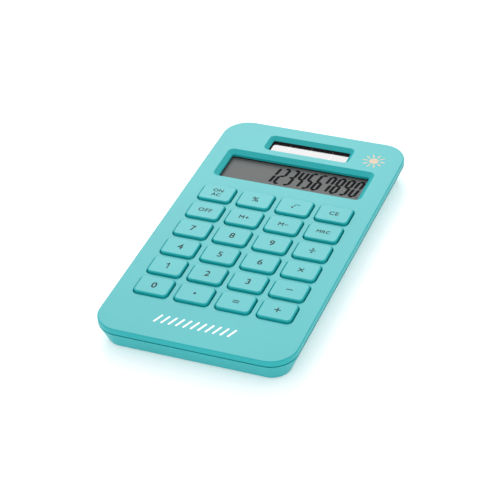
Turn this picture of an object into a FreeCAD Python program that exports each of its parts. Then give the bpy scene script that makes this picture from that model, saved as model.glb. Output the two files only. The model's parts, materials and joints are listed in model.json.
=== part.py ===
import FreeCAD, Part
import math
import os

# A slim desk calculator: a two-shell case, 24 loose key caps over a silicone
# keypad, a glass display and a solar cell behind bevelled windows, a circuit
# board, and a button cell under a coin-slot cover.
# Frame: +X across the keys, +Y from the keys towards the display, +Z up.
# The origin is on the table, under the middle of the case. Millimetres.

# ---------------------------------------------------------------- driving sizes
CASE_WIDTH = 70.0
CASE_LENGTH = 128.0
CORNER_RADIUS = 9.25
FOOT_PROUD = 0.3          # the rubber feet lift the case by this much
BODY_THICKNESS = 9.2      # underside of the case to its face
RIM_HEIGHT = 6.8          # underside to the lower shell's rim
PART_GAP = 0.4            # groove between the two shells
BASE_INSET = 2.9          # the lower shell tapers in to its underside
FACE_THICKNESS = 1.4
WALL = 1.6
FLOOR_THICKNESS = 1.4
TONGUE = 0.8              # the lower shell's tongue inside the upper one's rim
FACE_ROUND = 0.4

KEY_PITCH_X = 14.66
KEY_PITCH_Y = 11.18
FRONT_ROW_Y = -39.33
KEY_WIDTH = 12.0
KEY_DEPTH = 9.1
KEY_CORNER = 1.6
KEY_EDGE_ROUND = 0.5
KEY_PROUD = 0.85
KEY_TRAVEL = 0.7
KEY_GAP = 0.3             # between a cap and its hole, on each side
HOLE_LEAD = 0.25          # small chamfer at the top of each key hole
FLANGE_LIP_X = 0.8        # the flange under the face keeps the cap in
FLANGE_LIP_Y = 0.7
FLANGE_THICKNESS = 0.7
FLANGE_GAP = 0.15

WINDOW_X = -0.45
LCD_WIDTH = 56.5
LCD_LENGTH = 17.9
LCD_Y = 36.55
LCD_BEVEL = 1.75          # how far the bevel leans in on each side
SOLAR_WIDTH = 33.0
SOLAR_LENGTH = 9.5
SOLAR_Y = 53.15
SOLAR_BEVEL = 1.5
BEVEL_HEIGHT = 1.3
WINDOW_CORNER = 2.0
WINDOW_INNER_CORNER = 0.8
COLLAR_HEIGHT = 0.75      # a collar under the face carries the display window's wall on
LCD_DEPTH = 2.7           # the face down to the display
SOLAR_DEPTH = 2.1         # the face down to the solar cell

BOARD_THICKNESS = 1.0
MAT_THICKNESS = 0.6
DOME_HEIGHT = 1.3
DOME_RADIUS = 3.2
DOME_TOP_RADIUS = 2.2
PILL_RADIUS = 1.5
PILL_THICKNESS = 0.2
PAD_RADIUS = 2.1
PAD_THICKNESS = 0.05

SCREW_X = 26.5
SCREW_Y = 50.3
SCREW_BOSS_RADIUS = 2.7
SCREW_HEAD_RADIUS = 2.0
SCREW_SHANK_RADIUS = 0.95
FOOT_X = 26.5
FOOT_Y = 56.9
FOOT_RADIUS = 3.0

CELL_RADIUS = 5.8         # 11.6 x 3.05 mm alkaline button cell
CELL_THICKNESS = 3.05
BAY_Y = -51.5
COVER_RADIUS = 7.2
COVER_GAP = 0.15

PAST = 1.0                # a cut runs past the material by this much
SINK = 0.2                # a fused part runs into its neighbour by this much
SLIP = 0.05               # play between moulded parts that touch

# ---------------------------------------------------------------- worked-out heights
UNDERSIDE = FOOT_PROUD
FACE = UNDERSIDE + BODY_THICKNESS
RIM = UNDERSIDE + RIM_HEIGHT
FLOOR_TOP = UNDERSIDE + FLOOR_THICKNESS
FACE_BACK = FACE - FACE_THICKNESS
COLLAR_END = FACE_BACK - COLLAR_HEIGHT
LCD_FLOOR = FACE - LCD_DEPTH
SOLAR_FLOOR = FACE - SOLAR_DEPTH
FLANGE_TOP = FACE_BACK - FLANGE_GAP
FLANGE_BASE = FLANGE_TOP - FLANGE_THICKNESS
BOARD_BASE = UNDERSIDE + 3.4
BOARD_TOP = BOARD_BASE + BOARD_THICKNESS
CELL_BASE = BOARD_TOP - CELL_THICKNESS
MAT_TOP = BOARD_TOP + MAT_THICKNESS
DOME_TOP = MAT_TOP + DOME_HEIGHT
PLUNGER_BASE = DOME_TOP + SLIP

KEY_NAMES = (
    ("zero", "point", "equals", "plus"),
    ("one", "two", "three", "minus"),
    ("four", "five", "six", "times"),
    ("seven", "eight", "nine", "divide"),
    ("off", "memory_plus", "memory_minus", "memory_recall"),
    ("on_clear", "percent", "square_root", "clear_entry"),
)


# ---------------------------------------------------------------- helpers
def vec(x, y, z):
    return FreeCAD.Vector(x, y, z)


def rounded_wire(width, length, radius, z, centre=(0.0, 0.0)):
    """Closed outline of a rectangle with round corners, at height z."""
    cx, cy = centre
    half_w = width / 2.0
    half_l = length / 2.0
    edges = []
    corners = ((1, 1, 0), (-1, 1, 90), (-1, -1, 180), (1, -1, 270))
    points = []
    for sx, sy, start in corners:
        mid = vec(cx + sx * (half_w - radius), cy + sy * (half_l - radius), z)
        arc = [mid + vec(radius * math.cos(math.radians(start + turn)),
                         radius * math.sin(math.radians(start + turn)), 0)
               for turn in (0, 45, 90)]
        points.append(arc)
    for index, arc in enumerate(points):
        edges.append(Part.Arc(*arc).toShape())
        following = points[(index + 1) % 4]
        edges.append(Part.makeLine(arc[2], following[0]))
    return Part.Wire(edges)


def slab(width, length, radius, low, high, centre=(0.0, 0.0)):
    """Straight-sided block with round corners."""
    face = Part.Face(rounded_wire(width, length, radius, low, centre))
    return face.extrude(vec(0, 0, high - low))


def taper(lower, upper):
    """Ruled solid between two rounded outlines."""
    return Part.makeLoft([lower, upper], True, True)


def cylinder(radius, low, high, x=0.0, y=0.0):
    return Part.makeCylinder(radius, high - low, vec(x, y, low))


def cone(low_radius, high_radius, low, high, x=0.0, y=0.0):
    return Part.makeCone(low_radius, high_radius, high - low, vec(x, y, low))


def box(low, high):
    size = [top - bottom for bottom, top in zip(low, high)]
    return Part.makeBox(size[0], size[1], size[2], vec(*low))


def case_outline(inset, z):
    return rounded_wire(CASE_WIDTH - 2 * inset, CASE_LENGTH - 2 * inset, CORNER_RADIUS - inset, z)


def case_slab(inset, low, high):
    return slab(CASE_WIDTH - 2 * inset, CASE_LENGTH - 2 * inset, CORNER_RADIUS - inset, low, high)


def key_places():
    """Name and centre of every key, front row first."""
    for row, names in enumerate(KEY_NAMES):
        for column, name in enumerate(names):
            x = (column - 1.5) * KEY_PITCH_X
            y = FRONT_ROW_Y + row * KEY_PITCH_Y
            yield name, x, y


def four_corners(x, y):
    return ((x, y), (-x, y), (-x, -y), (x, -y))


def edges_at(shape, z, tolerance=0.01):
    """Edges that lie flat at height z."""
    found = []
    for edge in shape.Edges:
        bounds = edge.BoundBox
        if abs(bounds.ZMin - z) < tolerance and abs(bounds.ZMax - z) < tolerance:
            found.append(edge)
    return found


def save(name, solids):
    """Write one node: one solid, or a group of separate solids."""
    solids = solids if isinstance(solids, list) else [solids]
    whole = solids[0] if len(solids) == 1 else Part.makeCompound(solids)
    whole.exportStep(f"parts/{name}.step")


# ---------------------------------------------------------------- case
BOARD_SCREWS = ((-26.0, 23.6), (26.0, 23.6), (-16.0, -50.5), (16.0, -50.5))
BOARD_SCREW_RADIUS = 0.7
BOARD_BOSS_RADIUS = 1.6
UPPER_BOSS_RADIUS = 2.4
BOSS_SPLIT = UNDERSIDE + 3.25      # where the two halves of a case boss meet
PILOT_CLEARANCE = 0.03
CASE_PILOT_ROOF = 0.8              # plastic left between a pilot hole and the face's back
BOARD_PILOT_ROOF = 0.6


def window_cut(width, length, bevel, y):
    """The bevel and the straight wall below it, down through any collar."""
    centre = (WINDOW_X, y)
    spread = PAST * bevel / BEVEL_HEIGHT
    top = rounded_wire(width + 2 * spread, length + 2 * spread, WINDOW_CORNER + spread, FACE + PAST, centre)
    inner = (width - 2 * bevel, length - 2 * bevel, WINDOW_INNER_CORNER)
    bottom = rounded_wire(*inner, FACE - BEVEL_HEIGHT, centre)
    bevel_cut = taper(bottom, top)
    land_cut = slab(*inner, FACE_BACK - PAST, FACE - BEVEL_HEIGHT, centre)
    return bevel_cut.fuse(land_cut)


def top_shell():
    """Face plate with its rim, bevelled windows, the display's collar, key holes and screw bosses."""
    shell = case_slab(0.0, RIM + PART_GAP, FACE)
    shell = shell.makeFillet(FACE_ROUND, edges_at(shell, FACE))
    shell = shell.cut(case_slab(TONGUE - SLIP, RIM, FACE_BACK))
    additions = [frame_block(LCD_INNER, COLLAR_END, FACE_BACK + SINK, LCD_Y)]
    for x, y in four_corners(SCREW_X, SCREW_Y):
        additions.append(cylinder(UPPER_BOSS_RADIUS, BOSS_SPLIT, FACE_BACK + SINK, x, y))
    for x, y in BOARD_SCREWS:
        additions.append(cylinder(BOARD_BOSS_RADIUS, BOARD_TOP, FACE_BACK + SINK, x, y))
    shell = shell.fuse(additions)

    cuts = [
        window_cut(LCD_WIDTH, LCD_LENGTH, LCD_BEVEL, LCD_Y),
        window_cut(SOLAR_WIDTH, SOLAR_LENGTH, SOLAR_BEVEL, SOLAR_Y),
    ]
    hole_w = KEY_WIDTH + 2 * KEY_GAP
    hole_l = KEY_DEPTH + 2 * KEY_GAP
    hole_r = KEY_CORNER + KEY_GAP
    for _, x, y in key_places():
        cuts.append(slab(hole_w, hole_l, hole_r, FACE_BACK - PAST, FACE, (x, y)))
        lead_low = rounded_wire(hole_w, hole_l, hole_r, FACE - HOLE_LEAD, (x, y))
        lead_high = rounded_wire(hole_w + 4 * HOLE_LEAD, hole_l + 4 * HOLE_LEAD,
                                 hole_r + 2 * HOLE_LEAD, FACE + HOLE_LEAD, (x, y))
        cuts.append(taper(lead_low, lead_high))
    for x, y in four_corners(SCREW_X, SCREW_Y):
        cuts.append(cylinder(SCREW_SHANK_RADIUS + PILOT_CLEARANCE,
                             BOSS_SPLIT - PAST, FACE_BACK - CASE_PILOT_ROOF, x, y))
    for x, y in BOARD_SCREWS:
        cuts.append(cylinder(BOARD_SCREW_RADIUS + PILOT_CLEARANCE,
                             BOARD_TOP - PAST, FACE_BACK - BOARD_PILOT_ROOF, x, y))
    return shell.cut(cuts).removeSplitter()


COVER_SEAT = UNDERSIDE + 0.85      # the cover's disc sits below this step
NECK_RADIUS = 6.3
LUG_LOW = FLOOR_TOP + SLIP
LUG_HIGH = LUG_LOW + 0.6
LUG_RADIUS = COVER_RADIUS - SLIP
LUG_ANGLE = 50.0
NOTCH_ANGLE = 58.0
COVER_TURN = 70.0                  # from locked to the notches


def sector(radius, low, high, middle, spread, x, y):
    """A slice of a disc about the cover's axis."""
    disc = Part.makeCylinder(radius, high - low, vec(0, 0, low), vec(0, 0, 1), spread)
    disc.rotate(vec(0, 0, 0), vec(0, 0, 1), middle - spread / 2.0)
    disc.translate(vec(x, y, 0))
    return disc


FOOT_RECESS = 0.4
FOOT_RECESS_GAP = 0.1
BASE_ROUND = 0.5
FLOOR_WALL = 1.4                   # the tray's wall where it meets the floor
TONGUE_ROOT = 0.5                  # the tongue is rooted this far below the rim
POST_RADIUS = 1.2
POST_GAP = 0.02
BOARD_POSTS = ((-22.0, 0.0), (22.0, 0.0), (0.0, -28.0), (-22.0, -33.0), (22.0, -33.0), (0.0, 10.0))
WELL_DEPTH = 1.75                  # the screw heads sit at the end of these wells
WELL_GAP = 0.25
SHANK_GAP = 0.15
FOAM_RIB_HALF = 0.6
FOAM_X = 18.5
FOAM_WIDTH = 12.0
FOAM_LENGTH = 11.0
FOAM_BASE = UNDERSIDE + 2.8


def bottom_shell():
    """Tapered tray with a tongue, screw wells, board posts and the cell's bay."""
    outer = taper(case_outline(BASE_INSET, UNDERSIDE), case_outline(0.0, RIM))
    outer = outer.makeFillet(BASE_ROUND, edges_at(outer, UNDERSIDE))
    tongue = case_slab(TONGUE, RIM - TONGUE_ROOT, FACE_BACK - SLIP)
    shell = outer.fuse(tongue)
    cavity_low = case_outline(BASE_INSET + FLOOR_WALL, FLOOR_TOP)
    cavity_high = case_outline(WALL, RIM)
    shell = shell.cut(taper(cavity_low, cavity_high))
    shell = shell.cut(case_slab(WALL, RIM, FACE))

    additions = []
    for x, y in four_corners(SCREW_X, SCREW_Y):
        additions.append(cylinder(SCREW_BOSS_RADIUS, FLOOR_TOP - SINK, BOSS_SPLIT - SLIP, x, y))
    for x, y in BOARD_POSTS:
        additions.append(cylinder(POST_RADIUS, FLOOR_TOP - SINK, BOARD_BASE - POST_GAP, x, y))
    for side in (-1, 1):
        x = WINDOW_X + side * FOAM_X
        low = (x - FOAM_WIDTH / 2.0, LCD_Y - FOAM_RIB_HALF, FLOOR_TOP - SINK)
        high = (x + FOAM_WIDTH / 2.0, LCD_Y + FOAM_RIB_HALF, FOAM_BASE)
        additions.append(box(low, high))
    shell = shell.fuse(additions)

    cuts = []
    for x, y in four_corners(SCREW_X, SCREW_Y):
        cuts.append(cylinder(SCREW_HEAD_RADIUS + WELL_GAP, UNDERSIDE - PAST, UNDERSIDE + WELL_DEPTH, x, y))
        cuts.append(cylinder(SCREW_SHANK_RADIUS + SHANK_GAP, UNDERSIDE, BOSS_SPLIT + PAST, x, y))
    for x, y in four_corners(FOOT_X, FOOT_Y):
        cuts.append(cylinder(FOOT_RADIUS + FOOT_RECESS_GAP, UNDERSIDE - PAST, UNDERSIDE + FOOT_RECESS, x, y))
    cuts.append(cylinder(COVER_RADIUS + COVER_GAP, UNDERSIDE - PAST, COVER_SEAT, 0, BAY_Y))
    cuts.append(cylinder(NECK_RADIUS + COVER_GAP, UNDERSIDE, FLOOR_TOP + PAST, 0, BAY_Y))
    for side in (0.0, 180.0):
        middle = side - COVER_TURN
        cuts.append(sector(COVER_RADIUS + COVER_GAP, UNDERSIDE, FLOOR_TOP + PAST,
                           middle, NOTCH_ANGLE, 0, BAY_Y))
    return shell.cut(cuts).removeSplitter()


def battery_cover():
    """Coin-slot cover: disc, raised ring around the cell, two bayonet lugs."""
    disc = cylinder(COVER_RADIUS, UNDERSIDE, COVER_SEAT - SLIP, 0, BAY_Y)
    neck = cylinder(NECK_RADIUS, COVER_SEAT - SINK, LUG_HIGH, 0, BAY_Y)
    lugs = [sector(LUG_RADIUS, LUG_LOW, LUG_HIGH, side, LUG_ANGLE, 0, BAY_Y) for side in (0.0, 180.0)]
    cover = disc.fuse([neck] + lugs)
    slot_half = 0.8
    slot_reach = 5.0
    slot_end = UNDERSIDE + 0.5
    slot = box((-slot_reach, BAY_Y - slot_half, UNDERSIDE - PAST), (slot_reach, BAY_Y + slot_half, slot_end))
    rounds = [cylinder(slot_half, UNDERSIDE - PAST, slot_end, x, BAY_Y) for x in (-slot_reach, slot_reach)]
    pocket = cylinder(CELL_RADIUS + COVER_GAP, CELL_BASE - SLIP, LUG_HIGH + PAST, 0, BAY_Y)
    return cover.cut([slot, pocket] + rounds).removeSplitter()


SCREW_HEAD_LOW = UNDERSIDE + 0.55
SCREW_TIP_LENGTH = 0.5
SCREW_END = FACE_BACK - 0.9


def case_screws():
    """Self-tapping screws, up from wells in the underside into the upper bosses."""
    screws = []
    head_high = UNDERSIDE + WELL_DEPTH
    head_round = 0.35
    recess_reach = 1.3
    tip_radius = 0.35
    tip_start = SCREW_END - SCREW_TIP_LENGTH
    for x, y in four_corners(SCREW_X, SCREW_Y):
        head = cylinder(SCREW_HEAD_RADIUS, SCREW_HEAD_LOW, head_high, x, y)
        head = head.makeFillet(head_round, edges_at(head, SCREW_HEAD_LOW))
        shank = cylinder(SCREW_SHANK_RADIUS, head_high - SINK, tip_start, x, y)
        tip = cone(SCREW_SHANK_RADIUS, tip_radius, tip_start, SCREW_END, x, y)
        recess = cross_recess(x, y, SCREW_HEAD_LOW, recess_reach)
        screws.append(head.fuse([shank, tip]).cut(recess).removeSplitter())
    return screws


def cross_recess(x, y, low, reach):
    """Cross slot in the underside of a screw head."""
    half = 0.22
    depth = 0.55
    bar = box((x - reach, y - half, low - PAST), (x + reach, y + half, low + depth))
    return bar.fuse(box((x - half, y - reach, low - PAST), (x + half, y + reach, low + depth)))


def rubber_feet():
    rim_round = 0.15
    feet = []
    for x, y in four_corners(FOOT_X, FOOT_Y):
        foot = cylinder(FOOT_RADIUS, 0.0, UNDERSIDE + FOOT_RECESS, x, y)
        feet.append(foot.makeFillet(rim_round, edges_at(foot, 0.0)))
    return feet


# ---------------------------------------------------------------- keys and keypad
KEY_WALL = 1.1
KEY_ROOF = 1.0
KEY_INNER_CORNER = 0.8
PLUNGER_RADIUS = 1.6


def key_cap(x, y):
    """Hollow cap with a retaining flange and a plunger over its dome."""
    centre = (x, y)
    key_top = FACE + KEY_PROUD
    cap = slab(KEY_WIDTH, KEY_DEPTH, KEY_CORNER, FLANGE_BASE, key_top, centre)
    cap = cap.makeFillet(KEY_EDGE_ROUND, edges_at(cap, key_top))
    flange = slab(KEY_WIDTH + 2 * FLANGE_LIP_X, KEY_DEPTH + 2 * FLANGE_LIP_Y, KEY_CORNER,
                  FLANGE_BASE, FLANGE_TOP, centre)
    hollow = slab(KEY_WIDTH - 2 * KEY_WALL, KEY_DEPTH - 2 * KEY_WALL, KEY_INNER_CORNER,
                  FLANGE_BASE - PAST, key_top - KEY_ROOF, centre)
    plunger = cylinder(PLUNGER_RADIUS, PLUNGER_BASE, key_top - KEY_ROOF + SINK, x, y)
    return cap.fuse(flange).cut(hollow).fuse(plunger).removeSplitter()


MAT_WIDTH = 57.8
MAT_BACK = 21.7
MAT_FRONT = -45.4
MAT_CORNER = 1.5
DOME_WALL = 0.6
DOME_ROOF = 0.95
PILL_SEAT = 0.1           # the dome's ceiling is this much wider than its pill


def keypad_mat():
    """The silicone sheet, with a hole where each dome stands."""
    middle = (MAT_BACK + MAT_FRONT) / 2.0
    sheet = slab(MAT_WIDTH, MAT_BACK - MAT_FRONT, MAT_CORNER, BOARD_TOP, MAT_TOP, (0, middle))
    holes = [cylinder(DOME_RADIUS, BOARD_TOP - PAST, MAT_TOP + PAST, x, y) for _, x, y in key_places()]
    return sheet.cut(holes)


def keypad_domes():
    """Collapsing domes, one under each key; their roots fill the sheet's holes."""
    domes = []
    for _, x, y in key_places():
        root = cylinder(DOME_RADIUS, BOARD_TOP, MAT_TOP, x, y)
        dome = root.fuse(cone(DOME_RADIUS, DOME_TOP_RADIUS, MAT_TOP, DOME_TOP, x, y))
        inside = cylinder(DOME_RADIUS - DOME_WALL, BOARD_TOP - PAST, MAT_TOP, x, y)
        ceiling = DOME_TOP - DOME_ROOF
        upper = cone(DOME_RADIUS - DOME_WALL, PILL_RADIUS + PILL_SEAT, MAT_TOP, ceiling, x, y)
        domes.append(dome.cut(inside.fuse(upper)).removeSplitter())
    return domes


def contact_pills():
    """Carbon discs bonded under the dome roofs."""
    high = DOME_TOP - DOME_ROOF
    return [cylinder(PILL_RADIUS, high - PILL_THICKNESS, high, x, y) for _, x, y in key_places()]


# ---------------------------------------------------------------- circuit board
BOARD_WIDTH = 62.0
BOARD_BACK = 26.0
BOARD_SHOULDER = -45.9
BOARD_FRONT = -57.3
BOARD_CORNER = 1.0
LOBE_WIDTH = 40.0
LOBE_ROOT = 3.0           # the lobe runs this far into the board
BAY_HOLE_RADIUS = CELL_RADIUS + 0.8
BOARD_SCREW_GAP = 0.2


def circuit_board():
    """Board under the keypad, with a front lobe around the cell."""
    middle = (BOARD_BACK + BOARD_SHOULDER) / 2.0
    board = slab(BOARD_WIDTH, BOARD_BACK - BOARD_SHOULDER, BOARD_CORNER, BOARD_BASE, BOARD_TOP, (0, middle))
    lobe_back = BOARD_SHOULDER + LOBE_ROOT
    lobe = slab(LOBE_WIDTH, lobe_back - BOARD_FRONT, BOARD_CORNER,
                BOARD_BASE, BOARD_TOP, (0, (BOARD_FRONT + lobe_back) / 2.0))
    cuts = [cylinder(BAY_HOLE_RADIUS, BOARD_BASE - PAST, BOARD_TOP + PAST, 0, BAY_Y)]
    for x, y in BOARD_SCREWS:
        hole_radius = BOARD_SCREW_RADIUS + BOARD_SCREW_GAP
        cuts.append(cylinder(hole_radius, BOARD_BASE - PAST, BOARD_TOP + PAST, x, y))
    for _, x, y in key_places():
        cuts.append(cylinder(PAD_RADIUS, BOARD_TOP - PAD_THICKNESS, BOARD_TOP + PAST, x, y))
    return board.fuse(lobe).cut(cuts).removeSplitter()


def contact_pads():
    """Printed carbon pads: two half discs with a gap, flush with the board."""
    gap = 0.3
    pads = []
    for _, x, y in key_places():
        pad = cylinder(PAD_RADIUS, BOARD_TOP - PAD_THICKNESS, BOARD_TOP, x, y)
        for side in (-1, 1):
            middle = x + side * (PAD_RADIUS + gap) / 2.0
            half = box((middle - PAD_RADIUS / 2.0, y - PAD_RADIUS, BOARD_TOP - PAST),
                       (middle + PAD_RADIUS / 2.0, y + PAD_RADIUS, BOARD_TOP + PAST))
            pads.append(pad.common(half))
    return pads


def board_screws():
    """Small screws from under the board up into the upper shell."""
    screws = []
    head_low = BOARD_BASE - 0.8
    head_radius = 1.5
    head_round = 0.25
    recess_reach = 0.9
    reach = 2.4
    for x, y in BOARD_SCREWS:
        head = cylinder(head_radius, head_low, BOARD_BASE, x, y)
        head = head.makeFillet(head_round, edges_at(head, head_low))
        shank = cylinder(BOARD_SCREW_RADIUS, BOARD_BASE - SINK, BOARD_TOP + reach, x, y)
        screw = head.fuse(shank).cut(cross_recess(x, y, head_low, recess_reach))
        screws.append(screw.removeSplitter())
    return screws


def chip_resin_cap():
    """Black resin over the bare chip, on the underside of the board."""
    x, y = 8.0, -10.0
    radius = 4.5
    height = 1.0
    sphere_radius = (radius ** 2 + height ** 2) / (2 * height)
    ball = Part.makeSphere(sphere_radius, vec(x, y, BOARD_BASE - height + sphere_radius))
    return ball.common(cylinder(radius + PAST, BOARD_BASE - height - PAST, BOARD_BASE, x, y))


CAPACITOR_X = -8.0
CAPACITOR_SIZE = (3.2, 1.6, 1.1)
RESISTOR_Y = -20.0
RESISTOR_SIZE = (2.0, 1.2, 0.5)
CHIP_CHAMFER = 0.1


def chip_part(x, y, length, width, height):
    """A surface-mount part under the board, with its two end caps in one block."""
    low = (x - length / 2.0, y - width / 2.0, BOARD_BASE - height)
    high = (x + length / 2.0, y + width / 2.0, BOARD_BASE)
    block = box(low, high)
    return block.makeChamfer(CHIP_CHAMFER, edges_at(block, BOARD_BASE - height))


def ceramic_capacitors():
    return [chip_part(CAPACITOR_X, y, *CAPACITOR_SIZE) for y in (-6.0, -14.0)]


def chip_resistors():
    return [chip_part(x, RESISTOR_Y, *RESISTOR_SIZE) for x in (-10.0, -5.0, 5.0)]


def clamp_diode():
    """Glass diode that limits the solar cell's voltage, lying along the board."""
    radius = 0.75
    length = 3.5
    lead = 0.4
    x, y = -3.5, 17.0
    axis_z = BOARD_BASE - radius
    glass = Part.makeCylinder(radius, length, vec(x, y, axis_z), vec(1, 0, 0))
    reach = 1.2
    leads = []
    for low_x, foot_x in ((x - reach, x - reach), (x + length, x + length + reach - lead)):
        low_z = axis_z - lead / 2.0
        leads.append(box((low_x, y - lead / 2.0, low_z), (low_x + reach, y + lead / 2.0, low_z + lead)))
        leads.append(box((foot_x, y - lead / 2.0, low_z), (foot_x + lead, y + lead / 2.0, BOARD_BASE)))
    return glass.fuse(leads).removeSplitter()


# ---------------------------------------------------------------- display
LCD_INNER = (LCD_WIDTH - 2 * LCD_BEVEL, LCD_LENGTH - 2 * LCD_BEVEL)
SOLAR_INNER = (SOLAR_WIDTH - 2 * SOLAR_BEVEL, SOLAR_LENGTH - 2 * SOLAR_BEVEL)
PANE_MARGIN = 1.5
PANE_CORNER = 0.3
FILM = 0.2
PANE = 0.7
LEDGE = 2.4               # the front pane reaches this much further towards the keys
FRONT_PANE_TOP = LCD_FLOOR - FILM
REAR_PANE_TOP = FRONT_PANE_TOP - PANE
REAR_FILM_TOP = REAR_PANE_TOP - PANE


def frame_block(inner, low, high, y):
    """Block as wide as a pane, from which a window's collar or gasket is made."""
    width, length = inner
    return slab(width + 2 * PANE_MARGIN, length + 2 * PANE_MARGIN, WINDOW_INNER_CORNER,
                low, high, (WINDOW_X, y))


def gasket(inner, floor, top, y):
    """Black foam frame between the upper shell and the glass behind it."""
    width, length = inner
    opening = slab(width, length, WINDOW_INNER_CORNER, floor - PAST, top + PAST, (WINDOW_X, y))
    return frame_block(inner, floor, top, y).cut(opening)


def display_layer(high, thickness, ledge=0.0):
    """One pane or film of the display, widened towards the keys by its ledge."""
    width = LCD_INNER[0] + 2 * PANE_MARGIN
    length = LCD_INNER[1] + 2 * PANE_MARGIN + ledge
    return slab(width, length, PANE_CORNER, high - thickness, high, (WINDOW_X, LCD_Y - ledge / 2.0))


def display_ribbon():
    """Flexible ribbon from the front pane's ledge down to the board."""
    half_width = 20.0
    thickness = 0.15
    pane_gap = 0.3
    bend_after = 0.1
    bend_run = 1.4
    bonded_run = 2.1
    rear_pane_edge = LCD_Y - LCD_INNER[1] / 2.0 - PANE_MARGIN
    high = REAR_PANE_TOP
    low = BOARD_TOP + thickness
    bend_one = rear_pane_edge - LEDGE - bend_after
    bend_two = bend_one - bend_run
    route = (
        (rear_pane_edge - pane_gap, high),
        (bend_one, high),
        (bend_two, low),
        (bend_two - bonded_run, low),
    )
    upper = [vec(-half_width, y, z) for y, z in route]
    lower = [vec(-half_width, y, z - thickness) for y, z in reversed(route)]
    outline = Part.makePolygon(upper + lower + upper[:1])
    return Part.Face(outline).extrude(vec(2 * half_width, 0, 0))


def foam_pads():
    """Pads that press the display up against its gasket."""
    corner = 0.5
    pads = []
    for side in (-1, 1):
        centre = (WINDOW_X + side * FOAM_X, LCD_Y)
        pads.append(slab(FOAM_WIDTH, FOAM_LENGTH, corner, FOAM_BASE, REAR_FILM_TOP - FILM, centre))
    return pads


# ---------------------------------------------------------------- power
SOLAR_THICKNESS = 1.1
SOLAR_BACK = SOLAR_FLOOR - SOLAR_THICKNESS
LEAD_RADIUS = 0.4
LEAD_BEND = 1.2
RED_LEAD_X = 5.0
BLACK_LEAD_X = -6.0


def solar_cell():
    width, length = SOLAR_INNER
    return slab(width + 2 * PANE_MARGIN, length + 2 * PANE_MARGIN, PANE_CORNER,
                SOLAR_BACK, SOLAR_FLOOR, (WINDOW_X, SOLAR_Y))


def solar_lead(x):
    """Insulated lead from the back of the solar cell, under the display, to the board."""
    low = BOARD_BASE - LEAD_RADIUS
    soldered_run = 4.5
    run_end = SOLAR_Y - LEAD_BEND
    start = vec(x, BOARD_BACK - soldered_run, low)
    corner = vec(x, run_end, low)
    centre = vec(x, run_end, low + LEAD_BEND)
    half_turn = LEAD_BEND * math.sqrt(0.5)
    middle = centre + vec(0, half_turn, -half_turn)
    top = centre + vec(0, LEAD_BEND, 0)
    path = Part.Wire([
        Part.makeLine(start, corner),
        Part.Arc(corner, middle, top).toShape(),
        Part.makeLine(top, vec(x, SOLAR_Y, SOLAR_BACK)),
    ])
    section = Part.Wire([Part.makeCircle(LEAD_RADIUS, start, vec(0, 1, 0))])
    return path.makePipeShell([section], True, False)


def battery_cell():
    """Button cell: steel can below, smaller negative cap on top."""
    can_top = BOARD_TOP - 0.3
    can_round = 0.3
    cap_radius = 4.7
    cap_round = 0.15
    can = cylinder(CELL_RADIUS, CELL_BASE, can_top, 0, BAY_Y)
    can = can.makeFillet(can_round, edges_at(can, CELL_BASE) + edges_at(can, can_top))
    cap = cylinder(cap_radius, can_top - can_round, BOARD_TOP, 0, BAY_Y)
    cap = cap.makeFillet(cap_round, edges_at(cap, BOARD_TOP))
    return can.fuse(cap).removeSplitter()


LEAF = 0.2
LEAF_HALF_WIDTH = 1.5
LEAF_SOLDERED_RUN = 4.0


def battery_contact_negative():
    """Leaf soldered on the board that reaches over the cell's cap."""
    tip_x = -1.0
    low = (tip_x, BAY_Y - LEAF_HALF_WIDTH, BOARD_TOP)
    high = (BAY_HOLE_RADIUS + LEAF_SOLDERED_RUN, BAY_Y + LEAF_HALF_WIDTH, BOARD_TOP + LEAF)
    tip = cylinder(LEAF_HALF_WIDTH, BOARD_TOP, BOARD_TOP + LEAF, tip_x, BAY_Y)
    return box(low, high).fuse(tip).removeSplitter()


def battery_contact_positive():
    """Leaf that bends down from the board and presses on the can's side."""
    edge = -CELL_RADIUS
    cover_gap = 0.3
    blade = box((edge - LEAF, BAY_Y - LEAF_HALF_WIDTH, LUG_HIGH + cover_gap),
                (edge, BAY_Y + LEAF_HALF_WIDTH, BOARD_TOP + LEAF))
    tab = box((-BAY_HOLE_RADIUS - LEAF_SOLDERED_RUN, BAY_Y - LEAF_HALF_WIDTH, BOARD_TOP),
              (edge, BAY_Y + LEAF_HALF_WIDTH, BOARD_TOP + LEAF))
    return blade.fuse(tab).removeSplitter()


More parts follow.
